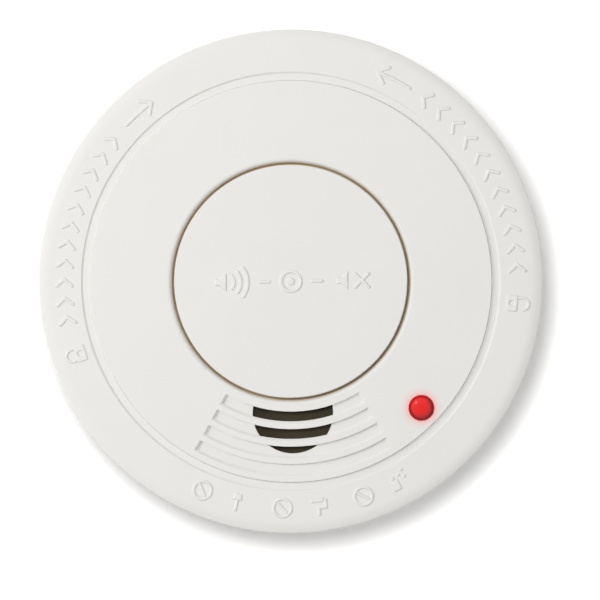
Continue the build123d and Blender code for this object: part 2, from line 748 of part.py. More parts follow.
def ic_pins():
    """Sixteen gull-wing pins, eight a side."""
    pins = []
    d = IC_SIZE[1] / 2
    for side in (-1, 1):
        over = [(d, 0.55), (d, 0.75), (d + 0.5, 0.75), (d + 0.5, 0.2)]
        foot = [(d + 1.0, 0.2), (d + 1.0, 0), (d + 0.3, 0), (d + 0.3, 0.55)]
        shape = make_face(Polyline(*over, *foot, close=True))
        pin = extrude(Plane.YZ * shape, 0.2, both=True)
        if side < 0:
            pin = Rot(0, 0, 180) * pin
        for i in range(8):
            pins.append(Pos(IC_AT[0] + 1.27 * (i - 3.5), IC_AT[1], BOARD[1]) * pin)
    return pins


CAPACITORS_AT = ((15.5, -1.0, 3.15, 11.0), (33.5, -1.5, 2.5, 9.0))  # x, y, radius, height


def capacitors():
    """Electrolytic capacitors in their sleeves, with the groove above the seal."""
    cans = []
    for x, y, r, height in CAPACITORS_AT:
        z0, z1 = BOARD[1], BOARD[1] + height
        groove = [(r, z0 + 1.2), (r - 0.3, z0 + 1.5), (r, z0 + 1.8)]
        top = [(r, z1), (r - 0.5, z1), (r - 0.5, z1 - 0.2), (0, z1 - 0.2)]
        cans.append(lathe([(0, z0), (r, z0), *groove, *top], at=(x, y)))
    return cans


COIL_AT = (19.0, -20.5)


def coil_core():
    """The drum core that the coil is wound on."""
    z = BOARD[1]
    core = cyl(1.8, z, z + 8.0, COIL_AT)
    for low in (z, z + 6.8):
        core += cyl(4.0, low, low + 1.2, COIL_AT)
    return core


def coil_winding():
    """The copper winding, one ring of wire above another."""
    wire_d, turns = 0.5, 11
    z = BOARD[1] + 1.25
    outline = [(1.85, z)]
    for i in range(turns):
        low = z + wire_d * i
        outline += [(3.3, low + 0.02), (3.55, low + wire_d / 2), (3.3, low + wire_d - 0.02)]
    outline.append((1.85, z + wire_d * turns))
    return lathe(outline, at=COIL_AT)


TRANSISTOR_AT = (31.5, -19.5)
TRANSISTOR_LEGS_AT = [(TRANSISTOR_AT[0] + dx, TRANSISTOR_AT[1]) for dx in (-1.5, 0, 1.5)]


def transistor():
    """A small transistor with a flat front, standing clear of the board on three legs."""
    x, y = TRANSISTOR_AT
    low = BOARD[1] + 2.0
    body = cyl(2.4, low, low + 4.6, (x, y)) - block((x - 3, x + 3), (y - 3, y - 1.5), (low - 1, low + 6))
    for leg_x, leg_y in TRANSISTOR_LEGS_AT:
        body += block((leg_x - 0.22, leg_x + 0.22), (leg_y - 0.2, leg_y + 0.2), (LEAD_END, low + 0.1))
    return body


def chip_resistors():
    """Surface-mounted resistors and small capacitors, in rows."""
    chips = []
    for row, (x, y, count) in enumerate(((9.5, -7.0, 3), (9.5, -10.5, 3), (22.1, -3.0, 2), (30.5, -26.5, 1))):
        for i in range(count):
            length, width = (2.0, 1.25) if row % 2 else (3.2, 1.6)
            middle = x + 4.2 * i
            sides = ((middle - length / 2, middle + length / 2), (y - width / 2, y + width / 2))
            chips.append(block(*sides, (BOARD[1], BOARD[1] + 0.6)))
    return chips


DIODE_AT = (10.5, -15.0)
DIODE_LEADS_AT = [(DIODE_AT[0] + dx, DIODE_AT[1]) for dx in (-5.0, 5.0)]


def diode():
    """A glass diode lying above the board on its two bent leads."""
    z = BOARD[1] + 1.1
    left, right = DIODE_LEADS_AT
    leads = wire([(*left, LEAD_END), (*left, z), (*right, z), (*right, LEAD_END)], 0.8, 0.5)
    return leads + along_x(1.0, DIODE_AT[0] - 2.1, DIODE_AT[0] + 2.1, DIODE_AT[1], z)


# ---- battery ------------------------------------------------------------------------------------------
BATTERY_MID_Y = sum(BATTERY_Y) / 2
BATTERY_MID_Z = sum(BATTERY_Z) / 2
END_PLATE_X = BATTERY_X[1] + 0.7


CASE_WALL = 0.3
CELL_R = 4.1


def battery_case():
    """The battery's steel jacket, open where the end plate closes it."""
    case = block(BATTERY_X, BATTERY_Y, BATTERY_Z)
    case = fillet(case.edges().filter_by(Axis.X), 2.4)
    sides = [(low + CASE_WALL, high - CASE_WALL) for low, high in (BATTERY_Y, BATTERY_Z)]
    inside = block((BATTERY_X[0] + CASE_WALL, BATTERY_X[1] + 1), *sides)
    return case - fillet(inside.edges().filter_by(Axis.X), 2.1)


def battery_cells():
    """Six round cells in two layers of three, which make up the battery's nine volts."""
    cells = []
    for row in (-1, 0, 1):
        for layer in (-0.5, 0.5):
            y = BATTERY_MID_Y + row * (2 * CELL_R + 0.2)
            z = BATTERY_MID_Z + layer * (2 * CELL_R + 0.1)
            cells.append(along_x(CELL_R, BATTERY_X[0] + 1.0, BATTERY_X[1] - 1.5, y, z))
    return cells


def battery_end_plate():
    inset = 0.8
    sides = ((BATTERY_Y[0] + inset, BATTERY_Y[1] - inset), (BATTERY_Z[0] + inset, BATTERY_Z[1] - inset))
    plate = block((BATTERY_X[1], END_PLATE_X), *sides)
    return fillet(plate.edges().filter_by(Axis.X), 1.8)


def battery_terminals():
    """The round stud and the six-sided socket."""
    low, high = BATTERY_MID_Y - TERMINAL_GAP / 2, BATTERY_MID_Y + TERMINAL_GAP / 2
    stud = along_x(2.8, END_PLATE_X, END_PLATE_X + 2.1, low, BATTERY_MID_Z)
    crown = extrude(Plane.YZ * RegularPolygon(4.1, 6), 2.1) - along_x(3.0, 0.3, 3, 0, 0)
    return [stud, Pos(END_PLATE_X, high, BATTERY_MID_Z) * crown]


SNAP_X = (24.1, 26.9)
SNAP_Y = (BATTERY_MID_Y - 12.9, BATTERY_MID_Y + 10.8)


def snap_connector():
    """The moulded strip that snaps on the battery's terminals."""
    body = block(SNAP_X, SNAP_Y, (BATTERY_MID_Z - 6.3, BATTERY_MID_Z + 6.3))
    return fillet(body.edges().filter_by(Axis.X), 2.5)


def snap_terminals():
    low, high = BATTERY_MID_Y - TERMINAL_GAP / 2, BATTERY_MID_Y + TERMINAL_GAP / 2
    start = END_PLATE_X + 0.25
    socket = along_x(4.1, start, SNAP_X[0], low, BATTERY_MID_Z)
    socket -= along_x(2.9, start - 1, SNAP_X[0] - 0.25, low, BATTERY_MID_Z)
    stud = along_x(2.85, END_PLATE_X + 0.4, SNAP_X[0], high, BATTERY_MID_Z)
    return [socket, stud]


LEAD_D = 1.3
LEAD_RED = (
    (25.6, SNAP_Y[0], 15.4),
    (25.6, 4.6, 15.4),
    (27.4, 2.6, 13.4),
    (27.4, 2.6, BOARD[0] - 0.6),
)
LEAD_BLACK = (
    (25.3, SNAP_Y[0], 12.8),
    (25.3, 5.6, 12.8),
    (23.2, 3.2, 12.0),
    (23.2, 3.2, BOARD[0] - 0.6),
)


def lead_bends(route):
    """The radius at each corner of a wire: as large as its two runs allow."""
    radii = []
    for before, corner, after in zip(route, route[1:], route[2:]):
        arriving = Vector(*corner) - Vector(*before)
        leaving = Vector(*after) - Vector(*corner)
        turn = math.radians(arriving.get_angle(leaving))
        radii.append(0.45 * min(arriving.length, leaving.length) / math.tan(turn / 2))
    return radii


def battery_lead(name, route):
    radii = lead_bends(route)
    lead = wire(route, radii, LEAD_D)
    print(name, "bend radii", [round(radius, 2) for radius in radii])
    return lead


# ---- everything, one file per node ------------------------------------------------------------------------
def main():
    os.makedirs("parts", exist_ok=True)
    save("mounting_bracket", mounting_bracket())
    save("base_housing", base_housing())
    save("front_cover", front_cover())
    save("cover_screws", *cover_screws())
    save("rating_label", rating_label())

    save("test_button", test_button())
    save("button_spring", button_spring())
    save("switch_body", switch_body())
    save("switch_frame", switch_frame())
    save("switch_pins", *switch_pins())
    save("switch_actuator", switch_actuator())

    save("inner_chassis", chassis())
    save("horn_ring", horn_ring())
    save("horn_cap", horn_cap())
    save("piezo_disc", cyl(13.5, *PIEZO_Z, HORN))
    save("piezo_ceramic", cyl(9.5, CERAMIC_Z, PIEZO_Z[0], HORN))
    save("horn_contacts", *horn_contacts())

    save("lamp_lens", lamp_lens())
    save("lamp_leads", *lamp_leads())
    save("lamp_spacer", lamp_spacer())

    save("chamber_base", chamber_base())
    save("chamber_cap", chamber_cap())
    save("insect_screen", insect_screen())
    save("ir_emitter", ir_emitter())
    save("photodiode", photodiode())
    save("optic_leads", *optic_leads())

    save("circuit_board", circuit_board())
    save("board_screws", *board_screws())
    save("detector_ic", detector_ic())
    save("ic_pins", *ic_pins())
    save("capacitors", *capacitors())
    save("coil_core", coil_core())
    save("coil_winding", coil_winding())
    save("transistor", transistor())
    save("chip_resistors", *chip_resistors())
    save("diode", diode())

    save("battery_case", battery_case())
    save("battery_cells", *battery_cells())
    save("battery_end_plate", battery_end_plate())
    save("battery_terminals", *battery_terminals())
    save("snap_connector", snap_connector())
    save("snap_terminals", *snap_terminals())
    save("lead_red", battery_lead("lead_red", LEAD_RED))
    save("lead_black", battery_lead("lead_black", LEAD_BLACK))


main()
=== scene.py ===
import math

import bpy
from mathutils import Euler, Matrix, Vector


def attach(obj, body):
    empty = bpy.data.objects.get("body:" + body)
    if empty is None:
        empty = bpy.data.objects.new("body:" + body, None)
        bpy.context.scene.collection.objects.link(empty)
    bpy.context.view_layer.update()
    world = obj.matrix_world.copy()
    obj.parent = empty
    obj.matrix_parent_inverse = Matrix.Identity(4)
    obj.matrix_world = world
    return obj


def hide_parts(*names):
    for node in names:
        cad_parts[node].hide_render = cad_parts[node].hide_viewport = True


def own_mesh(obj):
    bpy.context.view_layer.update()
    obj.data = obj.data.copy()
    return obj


# A smoke alarm, lying on its back on a pale floor and seen from straight above its face.
# Metres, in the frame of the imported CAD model: +Z comes out of the alarm's face.

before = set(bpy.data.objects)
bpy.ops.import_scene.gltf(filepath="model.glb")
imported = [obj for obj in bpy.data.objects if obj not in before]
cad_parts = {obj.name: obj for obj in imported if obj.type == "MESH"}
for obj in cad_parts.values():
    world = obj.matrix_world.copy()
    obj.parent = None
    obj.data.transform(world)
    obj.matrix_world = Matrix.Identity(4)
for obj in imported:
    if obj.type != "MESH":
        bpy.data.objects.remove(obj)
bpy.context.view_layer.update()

# ---- camera and light ----------------------------------------------------------------------------
CAMERA_HEIGHT = 1.2
VIEW_WIDTH = 0.1217  # width of the picture at the height of the cover's rim
RIM_Z = 0.033
CAMERA_ROLL = -0.9  # degrees
CAMERA_OFFSET = (0.0018, -0.0038)  # the alarm sits a little left of and above the middle

# Each light's direction is in degrees round from +X and degrees down from straight above.
TOP_LIGHT = {"azimuth": 130.0, "tilt": 9.0, "distance": 0.6, "size": 0.12, "power": 1.62}
SIDE_LIGHT = {"azimuth": 166.0, "tilt": 55.0, "distance": 0.8, "size": 0.4, "power": 3.1}
FLOOR_LIGHT = {"azimuth": 128.0, "tilt": 4.2, "distance": 0.5, "size": 0.11, "power": 3.1}
WINDOW = {"azimuth": 134.0, "tilt": 75.0, "distance": 0.5, "size": 0.22, "power": 0.9}
SKY_TOP = 0.41  # brightness of the surroundings straight above
SKY_EDGE = 0.60  # and at the horizon
FLOOR_GLOW = 0.12  # the ground is a sheet of white acrylic, lit from below
FLOOR_Z = -0.0001  # just clear of the bracket's underside
FLOOR_HALF = 4.0
FLOOR_WHITE = (0.91, 0.91, 0.91)
DAYLIGHT = (1.0, 0.995, 0.985)

# ---- places that the materials depend on ---------------------------------------------------------
# A pair is where a change from one look to the next starts and ends.
BUTTON_GAP = (0.0239, 0.0246)  # radii over which painted brown shade darkens the cover's hole round the button
FLANGE_EDGE = (0.0231, 0.0235)  # and the button's flange and side
GAP_SHADE_BELOW = (0.0350, 0.0357)  # heights, below which the button's side gets the painted shade
LAMP = (0.0260, -0.0260, 0.0)
LAMP_CORE = (0.0258, -0.0258, 0.0)  # the brightest part of the lens is a little off its middle, so the painted shade round it is darkest at the lower right
LENS_EDGE = (0.0014, 0.0027)  # distances from the core, over which painted shade darkens the lens
LENS_BELOW = (0.0335, 0.0345)  # heights, below which painted light makes the lens paler
LAMP_GLOW = (0.0026, 0.0048)  # the lens's light is painted on the plastic round it, between these radii
HORN = (0.0, -0.0267, 0.0)
SILVER_EDGE = (0.0088, 0.0091)  # radii from the horn's middle
LABEL_CORNER = (-0.020, -0.022, 0.0)
LABEL_PANEL = (0.040, 0.0054)  # width and height
LABEL_LINE = 0.00025  # width of the lines round the panels
BOARD_Z = 0.0111  # the board's top
BOARD_EDGES = (0.0433, 0.0061)  # just inside them: radius of the round one, y of the straight one
TRACK_TILE = 0.00762  # the tracks change direction from one tile to the next
TRACK_PITCH = 0.00254
TRACK_HALF = (0.00028, 0.00034)  # half of a track's width
CHIP_START = 0.0095  # x of the first chip's middle
CHIP_PITCH = 0.0042
CHIP_HALF = (0.00068, 0.00072)  # half of the length between the tinned ends
DIODE_X = 0.0105
DIODE_HALF = (0.00212, 0.00214)  # half of the glass's length
BAND_AT = 0.0014  # the black band's middle, from the diode's
BAND_HALF = (0.00030, 0.00032)
LEGS_END = (0.00199, 0.002)  # height of the transistor's body above the board
# x, y, radius and top of each capacitor
CAPACITORS = ((0.0155, -0.001, 0.00315, 0.0221), (0.0335, -0.0015, 0.0025, 0.0201))
STRIPE_HALF = (0.0009, 0.00095)  # from the middle of the stripe, on the sleeve's outside
BARE_TOP = (0.0005, 0.00045)  # how far inside the sleeve's outside the bare aluminium starts
BARE_DEPTH = (0.0003, 0.00025)  # and how far below the top

# ---- colours, and the plastic's grain ------------------------------------------------------------
WHITE = (0.665, 0.657, 0.640)
# painted shade: the warm brown darkening in the gap between button and cover
GAP_SHADE = (0.38, 0.265, 0.135)
PAINTED_LAMP_LIGHT = (0.66, 0.10, 0.10)  # painted red light from the lamp on the cover next to it
# painted light: the cover itself gives off this red near the lamp
RED_LIGHT = (0.13, 0.0, 0.0)
DARK = (0.0, 0.0, 0.0)
LENS_LIT = (0.62, 0.018, 0.018)
# painted shade: the lens's dark edge
LENS_RIM_SHADE = (0.075, 0.012, 0.018)
# painted light: the paler lens below the face
LENS_LIT_PALE = (0.55, 0.065, 0.06)
BLACK = (0.037, 0.0265, 0.0102)
TIN = (0.66, 0.66, 0.64)
CLOUD_DEPTH = 0.006  # how much the white varies from place to place
CLOUD_SCALE = 45.0
SATIN = (0.56, 0.62)  # lowest and highest roughness
GRAIN_SCALE = 1400.0
GRAIN_DEPTH = 0.00002


def shade(colour, factor):
    return tuple(min(1.0, channel * factor) for channel in colour)


class Surface:
    """A Principled material made from patterns in object space."""

    def __init__(self, name, metallic=0.0, ior=1.45):
        self.material = bpy.data.materials.new(name)
        self.material.use_nodes = True
        self.tree = self.material.node_tree
        self.shader = self.tree.nodes["Principled BSDF"]
        self.shader.inputs["Metallic"].default_value = metallic
        self.shader.inputs["IOR"].default_value = ior

    def put(self, socket, value):
        """Links a node's output to the socket, or sets the socket to a constant."""
        if isinstance(value, bpy.types.NodeSocket):
            self.tree.links.new(value, socket)
        elif socket.type == "RGBA":
            socket.default_value = (*value, 1.0)
        else:
            socket.default_value = value

    def node(self, kind, inputs, **settings):
        node = self.tree.nodes.new("ShaderNode" + kind)
        for key, value in settings.items():
            setattr(node, key, value)
        for key, value in inputs.items():
            self.put(node.inputs[key], value)
        return node

    def place(self, centre=(0.0, 0.0, 0.0), stretch=(1.0, 1.0, 1.0)):
        """Object coordinates measured from a centre, then scaled along each axis."""
        source = self.node("TexCoord", {}).outputs["Object"]
        moved = self.node("VectorMath", {0: source, 1: centre}, operation="SUBTRACT").outputs[0]
        return self.node("VectorMath", {0: moved, 1: stretch}, operation="MULTIPLY").outputs[0]

    def distance(self, centre=(0.0, 0.0, 0.0)):
        """From the upright line through the centre."""
        flat = self.place(centre, (1.0, 1.0, 0.0))
        return self.node("VectorMath", {0: flat}, operation="LENGTH").outputs["Value"]

    def axis(self, letter, centre=(0.0, 0.0, 0.0)):
        return self.node("SeparateXYZ", {"Vector": self.place(centre)}).outputs[letter]

    def noise(self, scale, detail=3.0, stretch=(1.0, 1.0, 1.0)):
        inputs = {
            "Vector": self.place(stretch=stretch),
            "Scale": scale,
            "Detail": detail,
            "Roughness": 0.55,
        }
        return self.node("TexNoise", inputs).outputs["Fac"]

    def spots(self, scale, feature="F1"):
        inputs = {"Vector": self.place(), "Scale": scale}
        return self.node("TexVoronoi", inputs, feature=feature).outputs["Distance"]

    def remap(self, value, start, end, low=0.0, high=1.0):
        """Goes from low at start to high at end, and stays there beyond."""
        inputs = {"Value": value, "From Min": start, "From Max": end, "To Min": low, "To Max": high}
        return self.node("MapRange", inputs).outputs["Result"]

    def math(self, operation, *values):
        return self.node("Math", dict(enumerate(values)), operation=operation).outputs[0]

    def mixed(self, factor, first, second):
        mix = self.node("Mix", {0: factor, 6: first, 7: second}, data_type="RGBA")
        return mix.outputs[2]

    def mottled(self, colour, vary, scale, detail=4.0, stretch=(1.0, 1.0, 1.0)):
        """The colour, a little darker and lighter from place to place."""
        amount = self.remap(self.noise(scale, detail, stretch), 0.3, 0.7)
        return self.mixed(amount, shade(colour, 1 - vary), shade(colour, 1 + vary))

    def colour(self, value):
        self.put(self.shader.inputs["Base Color"], value)

    def gloss(self, low, high, scale=160.0, stretch=(1.0, 1.0, 1.0)):
        rough = self.remap(self.noise(scale, 3.0, stretch), 0.3, 0.7, low, high)
        self.put(self.shader.inputs["Roughness"], rough)

    def relief(self, height, distance, strength=0.25):
        inputs = {"Height": height, "Distance": distance, "Strength": strength}
        self.put(self.shader.inputs["Normal"], self.node("Bump", inputs).outputs["Normal"])

    def grain(self, depth=GRAIN_DEPTH):
        """The fine grain that a spark-eroded mould leaves."""
        self.relief(self.noise(GRAIN_SCALE, 2.0), depth)

    def glow(self, colour, strength):
        self.put(self.shader.inputs["Emission Color"], colour)
        self.shader.inputs["Emission Strength"].default_value = strength


# ---- plastics ------------------------------------------------------------------------------------
def plastic(name, colour, rough=SATIN, vary=CLOUD_DEPTH, depth=GRAIN_DEPTH):
    """Injection-moulded plastic."""
    surface = Surface(name)
    surface.colour(surface.mottled(colour, vary, CLOUD_SCALE))
    surface.gloss(*rough)
    surface.grain(depth)
    return surface.material


def cover_plastic():
    """The cover: painted brown shade in the gap round the button, and the lamp's red light painted on
    the plastic near it.
    """
    surface = Surface("cover_white")
    clean = surface.mottled(WHITE, CLOUD_DEPTH, CLOUD_SCALE)
    # painted shade: brown, patchy darkening of the cover's hole edge next to the button
    near = surface.remap(surface.distance(), *BUTTON_GAP, 0.75, 0.0)
    patchy = surface.remap(surface.noise(700.0), 0.3, 0.7, 0.75, 1.0)
    gap_shaded = surface.mixed(surface.math("MULTIPLY", near, patchy), clean, GAP_SHADE)
    # painted light: the lamp's red light is painted into the cover's colour near the lamp, and the
    # cover there glows red itself
    near_lamp = surface.remap(surface.distance(LAMP), *LAMP_GLOW, 1.0, 0.0)
    glow = surface.math("POWER", near_lamp, 2.2)
    surface.colour(surface.mixed(surface.math("MULTIPLY", glow, 0.4), gap_shaded, PAINTED_LAMP_LIGHT))
    surface.glow(surface.mixed(glow, DARK, RED_LIGHT), 1.0)
    surface.gloss(*SATIN)
    surface.grain()
    return surface.material


def button_plastic():
    """The button: the same plastic, with painted brown shade on its side and on its flange."""
    surface = Surface("button_white")
    clean = surface.mottled(shade(WHITE, 0.99), CLOUD_DEPTH, CLOUD_SCALE)
    outside = surface.remap(surface.distance(), *FLANGE_EDGE)
    low = surface.remap(surface.axis("Z"), *GAP_SHADE_BELOW, 1.0, 0.0)
    # painted shade on the button's side and flange, deep in the gap
    surface.colour(surface.mixed(surface.math("MULTIPLY", outside, low), clean, GAP_SHADE))
    surface.gloss(0.54, 0.6)
    surface.grain()
    return surface.material


def vinyl(name, colour):
    """Soft extruded insulation, faintly mottled and bumpy, with a satin sheen."""
    surface = Surface(name, ior=1.5)
    surface.colour(surface.mottled(colour, 0.08, 300.0))
    surface.gloss(0.3, 0.42, 700.0)
    surface.relief(surface.noise(900.0, 2.0), 0.00003)
    surface.shader.inputs["Sheen Weight"].default_value = 0.15
    return surface.material


def epoxy(name, colour, rough=(0.45, 0.6)):
    """Black moulding compound, speckled with its filler."""
    surface = Surface(name, ior=1.55)
    flecks = surface.remap(surface.spots(6000.0), 0.05, 0.25, 0.35, 0.0)
    surface.colour(surface.mixed(flecks, surface.mottled(colour, 0.15, 500.0), shade(colour, 4.0)))
    surface.gloss(*rough, 900.0)
    surface.relief(surface.noise(3000.0, 2.0), 0.00001)
    return surface.material


def clear_resin(name, colour, see_through):
    """Tinted clear resin of an optical part."""
    surface = Surface(name, ior=1.53)
    surface.colour(surface.mottled(colour, 0.06, 400.0))
    surface.gloss(0.08, 0.16, 500.0)
    surface.shader.inputs["Transmission Weight"].default_value = see_through
    return surface.material


def red_lamp():
    """The lamp's tinted lens, lit from inside, with painted shade darkening it towards its edge and
    painted light making it paler below the face.
    """
    surface = Surface("red_lamp")
    lit = surface.mottled(LENS_LIT, 0.04, 500.0)
    # painted shade: the lens darkens towards its edge, most at the lower right
    edge = surface.remap(surface.distance(LAMP_CORE), *LENS_EDGE)
    dome = surface.mixed(edge, lit, LENS_RIM_SHADE)
    # painted light: the lens is paler below the face
    below = surface.remap(surface.axis("Z"), *LENS_BELOW, 1.0, 0.0)
    colour = surface.mixed(below, dome, LENS_LIT_PALE)
    surface.colour(colour)
    surface.glow(colour, 0.72)
    surface.gloss(0.18, 0.24, 500.0)
    surface.shader.inputs["Specular IOR Level"].default_value = 0.3
    return surface.material


def blank_label():
    """A plain silver-white sticker: a thin frame and two empty panels, with no lettering."""
    surface = Surface("blank_label")
    paper = surface.mottled((0.70, 0.71, 0.72), 0.02, 400.0)
    panels = surface.node(
        "TexBrick",
        {
            "Vector": surface.place(LABEL_CORNER),
            "Color1": (1.0, 1.0, 1.0),
            "Color2": (1.0, 1.0, 1.0),
            "Mortar": DARK,
            "Scale": 1.0,
            "Mortar Size": LABEL_LINE,
            "Brick Width": LABEL_PANEL[0],
            "Row Height": LABEL_PANEL[1],
        },
        offset=0.0,
    )
    surface.colour(surface.mixed(panels.outputs["Fac"], paper, (0.30, 0.31, 0.32)))
    surface.gloss(0.3, 0.4, 300.0)
    surface.relief(surface.noise(2500.0, 2.0), 0.00001)
    return surface.material


# ---- metals --------------------------------------------------------------------------------------
def metal(name, colour, rough=(0.22, 0.4), stretch=(1.0, 1.0, 1.0), vary=0.12):
    """Plated or drawn metal with fine scratches and some tarnish."""
    surface = Surface(name, metallic=1.0)
    surface.colour(surface.mottled(colour, vary, 300.0, 4.0, stretch))
    surface.gloss(*rough, 900.0, stretch)
    surface.relief(surface.noise(2600.0, 2.0, stretch), 0.000006)
    return surface.material


def wound_copper():
    """Enamelled copper wire, turn on turn."""
    surface = Surface("wound_copper", metallic=1.0)
    surface.colour(surface.mottled((0.66, 0.27, 0.12), 0.2, 500.0, 3.0, (1.0, 1.0, 6.0)))
    surface.gloss(0.25, 0.38, 700.0)
    surface.shader.inputs["Coat Weight"].default_value = 0.4
    return surface.material


def woven_screen():
    """Fine steel gauze: bright wires and dark meshes between them."""
    surface = Surface("woven_screen", metallic=0.8)
    meshes = surface.spots(2200.0, "DISTANCE_TO_EDGE")
    wires = surface.remap(meshes, 0.08, 0.2, 1.0, 0.0)
    surface.colour(surface.mixed(wires, (0.02, 0.02, 0.02), surface.mottled(TIN, 0.1, 900.0)))
    surface.gloss(0.3, 0.45, 900.0)
    surface.relief(wires, 0.00008, 0.6)
    return surface.material


def sounder_ceramic():
    """Fired silver on the ceramic disc, which is bare and cream at its rim."""
    surface = Surface("sounder_ceramic", metallic=0.35)
    bare = surface.remap(surface.distance(HORN), *SILVER_EDGE)
    silver = surface.mottled((0.60, 0.60, 0.58), 0.08, 500.0)
    surface.colour(surface.mixed(bare, silver, (0.55, 0.50, 0.38)))
    surface.gloss(0.4, 0.55, 800.0)
    surface.relief(surface.noise(2000.0, 3.0), 0.00001)
    return surface.material


# ---- the board and what stands on it -------------------------------------------------------------
def solder_mask():
    """Green mask over copper tracks, which change direction from tile to tile; bare edges."""
    surface = Surface("solder_mask", ior=1.52)
    tile = surface.node("VectorMath", {0: surface.place(), 1: (TRACK_TILE,) * 3}, operation="SNAP")
    chance = surface.node("TexWhiteNoise", {"Vector": tile.outputs[0]}).outputs["Value"]
    upright = surface.remap(chance, 0.45, 0.55)
    across = surface.math("PINGPONG", surface.axis("X"), TRACK_PITCH / 2)
    along = surface.math("PINGPONG", surface.axis("Y"), TRACK_PITCH / 2)
    lines = surface.node("Mix", {0: upright, 2: across, 3: along}).outputs[0]
    tracks = surface.remap(lines, *TRACK_HALF, 1.0, 0.0)
    mask = surface.mottled((0.008, 0.085, 0.034), 0.15, 200.0)
    green = surface.mixed(tracks, mask, surface.mottled((0.02, 0.19, 0.075), 0.12, 200.0))
    round_edge = surface.remap(surface.distance(), BOARD_EDGES[0], BOARD_EDGES[0] + 0.0001)
    straight_edge = surface.remap(surface.axis("Y"), BOARD_EDGES[1], BOARD_EDGES[1] + 0.00005)
    edges = surface.math("MAXIMUM", round_edge, straight_edge)
    surface.colour(surface.mixed(edges, green, (0.30, 0.28, 0.14)))
    surface.gloss(0.22, 0.34, 400.0)
    surface.relief(tracks, 0.00004, 0.5)
    return surface.material


def capacitor_sleeve():
    """Dark blue sleeves with a pale stripe down the negative lead's side, and bare aluminium tops."""
    surface = Surface("capacitor_sleeve")
    stripes = 0.0
    tops = 0.0
    for x, y, radius, top in CAPACITORS:
        beside = surface.distance((x - radius, y, 0.0))
        stripes = surface.math("MAXIMUM", stripes, surface.remap(beside, *STRIPE_HALF, 1.0, 0.0))
        edge = [radius - inward for inward in BARE_TOP]
        inside = surface.remap(surface.distance((x, y, 0.0)), *edge, 1.0, 0.0)
        high = surface.remap(surface.axis("Z"), *[top - down for down in BARE_DEPTH])
        tops = surface.math("MAXIMUM", tops, surface.math("MULTIPLY", inside, high))
    sleeve = surface.mottled((0.012, 0.018, 0.06), 0.2, 300.0)
    surface.colour(surface.mixed(tops, surface.mixed(stripes, sleeve, (0.45, 0.47, 0.50)), TIN))
    surface.put(surface.shader.inputs["Metallic"], tops)
    surface.gloss(0.25, 0.38, 500.0)
    surface.relief(surface.noise(1500.0, 2.0), 0.00001)
    return surface.material


def chip_body():
    """Chip resistors and capacitors: a dark body between tinned ends."""
    surface = Surface("chip_body")
    from_middle = surface.math("PINGPONG", surface.axis("X", (CHIP_START, 0.0, 0.0)), CHIP_PITCH / 2)
    ends = surface.remap(from_middle, *CHIP_HALF)
    surface.colour(surface.mixed(ends, surface.mottled((0.03, 0.028, 0.026), 0.2, 900.0), TIN))
    surface.put(surface.shader.inputs["Metallic"], ends)
    surface.gloss(0.3, 0.45, 900.0)
    return surface.material


def glass_diode():
    """Orange glass with a black band at one end, between tinned leads."""
    surface = Surface("glass_diode", ior=1.5)
    from_middle = surface.math("ABSOLUTE", surface.axis("X", (DIODE_X, 0.0, 0.0)))
    leads = surface.remap(from_middle, *DIODE_HALF)
    from_band = surface.math("ABSOLUTE", surface.axis("X", (DIODE_X + BAND_AT, 0.0, 0.0)))
    band = surface.remap(from_band, *BAND_HALF, 1.0, 0.0)
    glass = surface.mixed(band, surface.mottled((0.42, 0.10, 0.02), 0.15, 700.0), (0.01, 0.01, 0.01))
    surface.colour(surface.mixed(leads, glass, TIN))
    surface.put(surface.shader.inputs["Metallic"], leads)
    surface.gloss(0.1, 0.25, 700.0)
    return surface.material


def small_transistor():
    """A black body on tinned legs."""
    surface = Surface("small_transistor")
    body = surface.remap(surface.axis("Z"), *[BOARD_Z + up for up in LEGS_END])
    surface.colour(surface.mixed(body, TIN, surface.mottled((0.018, 0.018, 0.018), 0.25, 600.0)))
    surface.put(surface.shader.inputs["Metallic"], surface.math("SUBTRACT", 1.0, body))
    surface.gloss(0.35, 0.5, 700.0)
    surface.relief(surface.noise(2500.0, 2.0), 0.00001)
    return surface.material


# ---- who wears what ------------------------------------------------------------------------------
def paint(node, material):
    """Gives all of a CAD node's surface one material."""
    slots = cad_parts[node].data.materials
    if not slots:
        slots.append(material)
    for i in range(len(slots)):
        slots[i] = material


def paint_shell():
    paint("front_cover", cover_plastic())
    paint("test_button", button_plastic())
    paint("base_housing", plastic("base_white", shade(WHITE, 0.98)))
    paint("mounting_bracket", plastic("bracket_white", shade(WHITE, 0.95), rough=(0.5, 0.6), vary=0.01))
    paint("inner_chassis", plastic("chassis_white", shade(WHITE, 0.92), rough=(0.5, 0.6), vary=0.01))
    paint("rating_label", blank_label())
    paint("lamp_lens", red_lamp())
    paint("lamp_spacer", plastic("nylon", (0.60, 0.59, 0.54), rough=(0.4, 0.5), vary=0.03))


def paint_sounder_and_chamber():
    horn = plastic("horn_black", BLACK, rough=(0.7, 0.8), vary=0.2)
    soot = (0.010, 0.010, 0.011)
    chamber = plastic("chamber_black", soot, rough=(0.75, 0.85), vary=0.25, depth=0.00006)
    for node in ("horn_ring", "horn_cap"):
        paint(node, horn)
    for node in ("chamber_base", "chamber_cap"):
        paint(node, chamber)
    paint("piezo_disc", metal("brass", (0.60, 0.42, 0.18), stretch=(1.0, 8.0, 1.0)))
    paint("piezo_ceramic", sounder_ceramic())
    paint("insect_screen", woven_screen())
    paint("ir_emitter", clear_resin("blue_resin", (0.25, 0.42, 0.75), 0.6))
    paint("photodiode", clear_resin("dark_resin", (0.05, 0.012, 0.012), 0.25))


